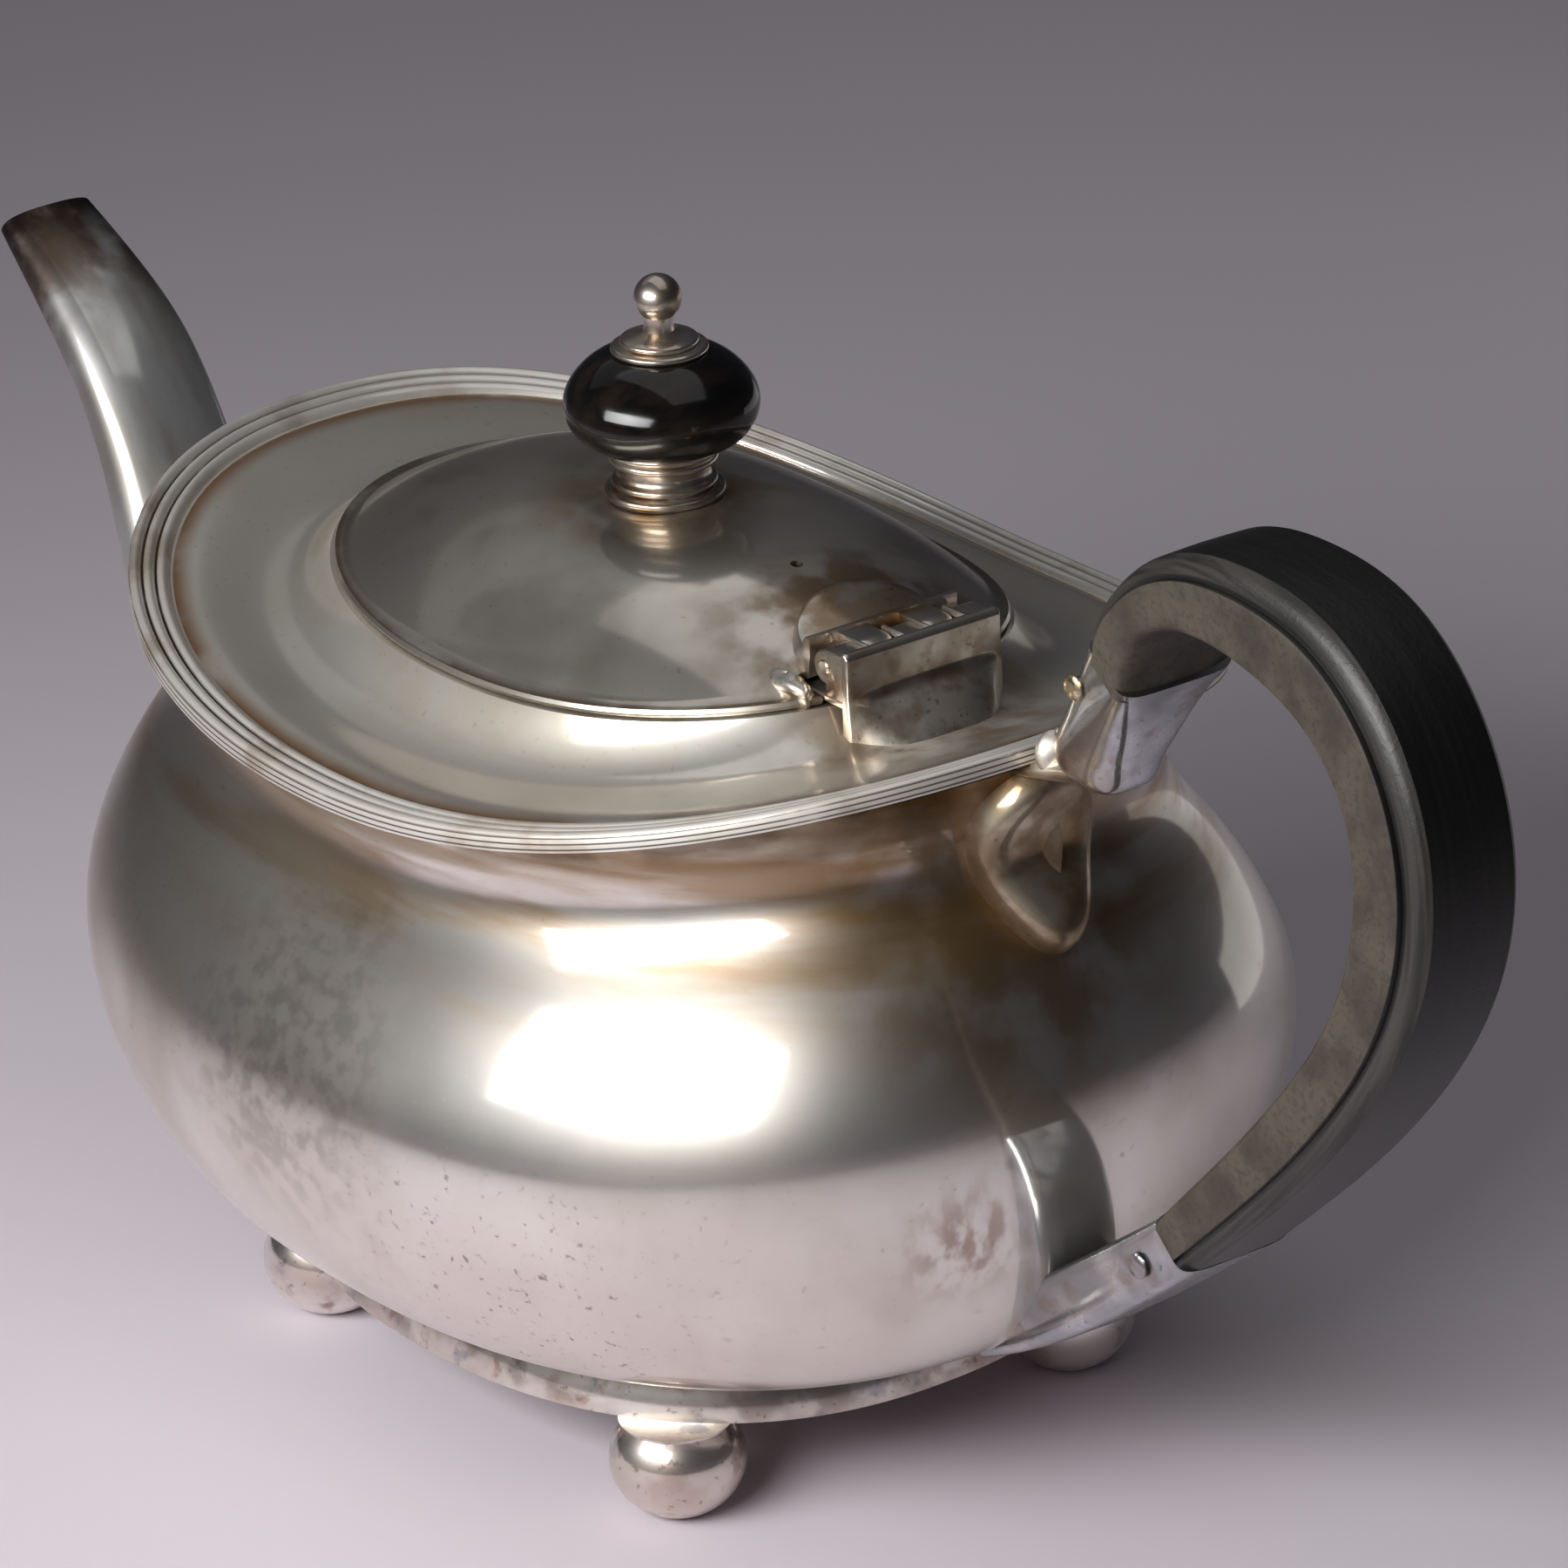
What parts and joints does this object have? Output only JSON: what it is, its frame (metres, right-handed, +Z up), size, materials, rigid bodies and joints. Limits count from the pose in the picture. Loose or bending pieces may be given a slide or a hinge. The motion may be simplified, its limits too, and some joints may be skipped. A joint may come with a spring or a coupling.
{
  "type": "teapot",
  "caption": "Oval silver teapot with a saddle-shaped reeded border, hinged domed lid with an ebony bun knob, swan-neck spout, ebony loop handle in sockets and ball feet.",
  "frame": {"origin": "centre of the oval body on the plane that the ball feet stand on", "axes": "+Z up, +X towards the handle, spout towards -X, +Y to the left when looking along +X"},
  "size_m": [0.2733, 0.122, 0.1347],
  "materials": {
    "silver": "polished, lightly tarnished",
    "ebony": "waxed"
  },
  "bodies": {
    "pot": {"ball_foot_back_left": "silver", "ball_foot_back_right": "silver", "ball_foot_front_left": "silver", "ball_foot_front_right": "silver", "body_base": "silver", "body_shell": "silver", "foot_collar": "silver", "handle_grip": "ebony", "hinge_body_leaf": "silver", "hinge_pin": "silver", "lid_seat": "silver", "lower_socket": "silver", "lower_socket_pin": "silver", "rim_moulding": "silver", "shoulder_deck": "silver", "spout_shell": "silver", "upper_bracket": "silver", "upper_socket": "silver", "upper_socket_pin": "silver"},
    "lid": {"lid_dome": "silver", "lid_flange": "silver", "hinge_lid_leaf": "silver", "knob_pedestal": "silver", "knob_bun": "ebony", "knob_washer": "silver", "knob_finial": "silver", "knob_nut": "silver"}
  },
  "joints": [
    {"name": "lid_hinge", "type": "hinge", "parent": "pot", "child": "lid", "pos_m": [0.044, 0, 0.1028], "axis": [0, 1, 0], "range_deg": [0, 95]}
  ]
}
